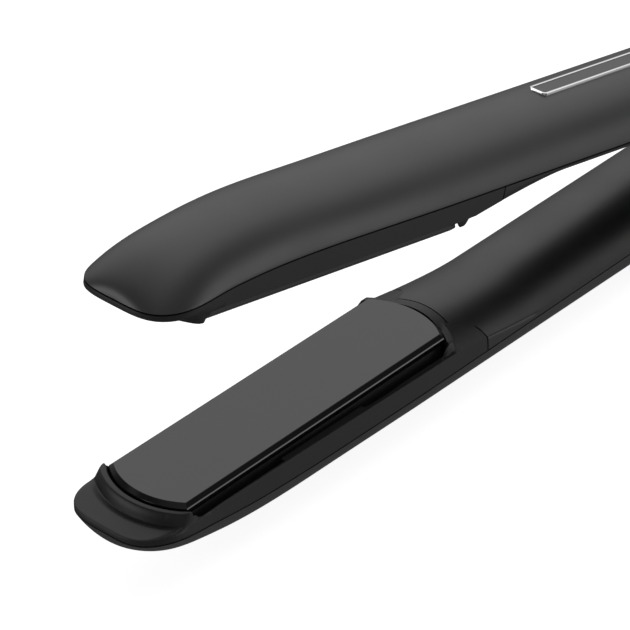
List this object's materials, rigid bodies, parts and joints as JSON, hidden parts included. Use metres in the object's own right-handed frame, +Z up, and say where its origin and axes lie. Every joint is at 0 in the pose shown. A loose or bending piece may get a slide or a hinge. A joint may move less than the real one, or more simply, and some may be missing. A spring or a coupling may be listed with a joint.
{
  "type": "flat iron",
  "caption": "Hair straightener with two hinged arms, spring-opened jaw, floating heated plates with bevelled edges, power button and swivelling cord inlet.",
  "frame": {"origin": "bottom centre of the bounding box, on the surface that the lower arm lies on", "axes": "+X from the arms' tips towards the hinge and the cord inlet, +Y across the arms, +Z up"},
  "size_m": [0.2626, 0.0318, 0.0858],
  "materials": {
    "soft_touch_shell": "matte soft-touch paint",
    "heat_resistant_plastic": "satin moulded",
    "soft_touch_cover": "satin soft-touch",
    "plate_coating": "gloss ceramic coating",
    "carrier_plastic": "matte glass-filled",
    "heater_ceramic": "matte ceramic",
    "polyimide_film": "gloss amber film",
    "thermistor_epoxy": "matte epoxy",
    "fuse_metal": "satin",
    "silicone": "matte",
    "lead_sleeve": "satin sleeve",
    "screw_steel": "zinc plated",
    "screw_black": "black oxide",
    "board_laminate": "solder mask",
    "component_epoxy": "moulded epoxy",
    "switch_plastic": "moulded",
    "button_gloss": "gloss",
    "lens_clear": "frosted light pipe",
    "mains_sleeve": "satin sleeve",
    "swivel_rubber": "matte",
    "pin_steel": "ground",
    "cap_gloss": "gloss",
    "spring_steel": "oil tempered",
    "bush_polymer": "natural acetal",
    "bezel_chrome": "polished",
    "insert_satin": "satin"
  },
  "bodies": {
    "lower_arm": {"lower_outer_shell": "soft_touch_shell", "lower_heater_housing": "heat_resistant_plastic", "lower_handle_cover": "soft_touch_cover", "lower_plate_buffers": "silicone", "lower_heater_leads": "lead_sleeve", "lower_housing_screws": "screw_steel", "lower_cover_screws": "screw_black", "circuit_board": "board_laminate", "board_components": "component_epoxy", "tact_switch": "switch_plastic", "board_screws": "screw_steel", "indicator_lens": "lens_clear", "mains_leads": "mains_sleeve", "swivel_clamp": "carrier_plastic", "hinge_pin": "pin_steel", "hinge_caps": "cap_gloss", "hinge_spring": "spring_steel", "hinge_wires": "lead_sleeve"},
    "upper_arm": {"upper_outer_shell": "soft_touch_shell", "upper_heater_housing": "heat_resistant_plastic", "upper_handle_cover": "soft_touch_cover", "upper_plate_buffers": "silicone", "upper_heater_leads": "lead_sleeve", "upper_housing_screws": "screw_steel", "upper_cover_screws": "screw_black", "upper_hinge_bushes": "bush_polymer", "upper_inlay_bezel": "bezel_chrome", "upper_inlay_insert": "insert_satin"},
    "lower_plate": {"lower_heating_plate": "plate_coating", "lower_plate_carrier": "carrier_plastic", "lower_ceramic_heater": "heater_ceramic", "lower_insulating_film": "polyimide_film", "lower_thermistor": "thermistor_epoxy", "lower_thermal_fuse": "fuse_metal"},
    "upper_plate": {"upper_heating_plate": "plate_coating", "upper_plate_carrier": "carrier_plastic", "upper_ceramic_heater": "heater_ceramic", "upper_insulating_film": "polyimide_film", "upper_thermistor": "thermistor_epoxy", "upper_thermal_fuse": "fuse_metal"},
    "power_button": {"power_button": "button_gloss"},
    "cord_swivel": {"cord_swivel": "swivel_rubber"}
  },
  "joints": [
    {"name": "arm_hinge", "type": "hinge", "parent": "lower_arm", "child": "upper_arm", "pos_m": [0.11, 0, 0.0223], "axis": [0, -1, 0], "range_deg": [0, 12.07], "stiffness_Nm_per_rad": 1.2, "springref_deg": -20.05, "deforming": ["hinge_spring", "hinge_wires"]},
    {"name": "lower_plate_float", "type": "slide", "parent": "lower_arm", "child": "lower_plate", "axis": [0, 0, -1], "range_m": [0, 0.001], "stiffness_N_per_m": 3000, "springref_m": -0.0006, "deforming": ["lower_plate_buffers", "lower_heater_leads"]},
    {"name": "upper_plate_float", "type": "slide", "parent": "upper_arm", "child": "upper_plate", "axis": [0.2091, 0, 0.9779], "range_m": [0, 0.001], "stiffness_N_per_m": 3000, "springref_m": -0.0006, "deforming": ["upper_plate_buffers", "upper_heater_leads"]},
    {"name": "power_button_press", "type": "slide", "parent": "lower_arm", "child": "power_button", "axis": [0, 0, -1], "range_m": [0, 0.0008], "stiffness_N_per_m": 1500, "springref_m": -0.0005},
    {"name": "cord_swivel_spin", "type": "hinge", "parent": "lower_arm", "child": "cord_swivel", "pos_m": [0.1245, 0, 0.0101], "axis": [1, 0, 0], "continuous": true}
  ]
}
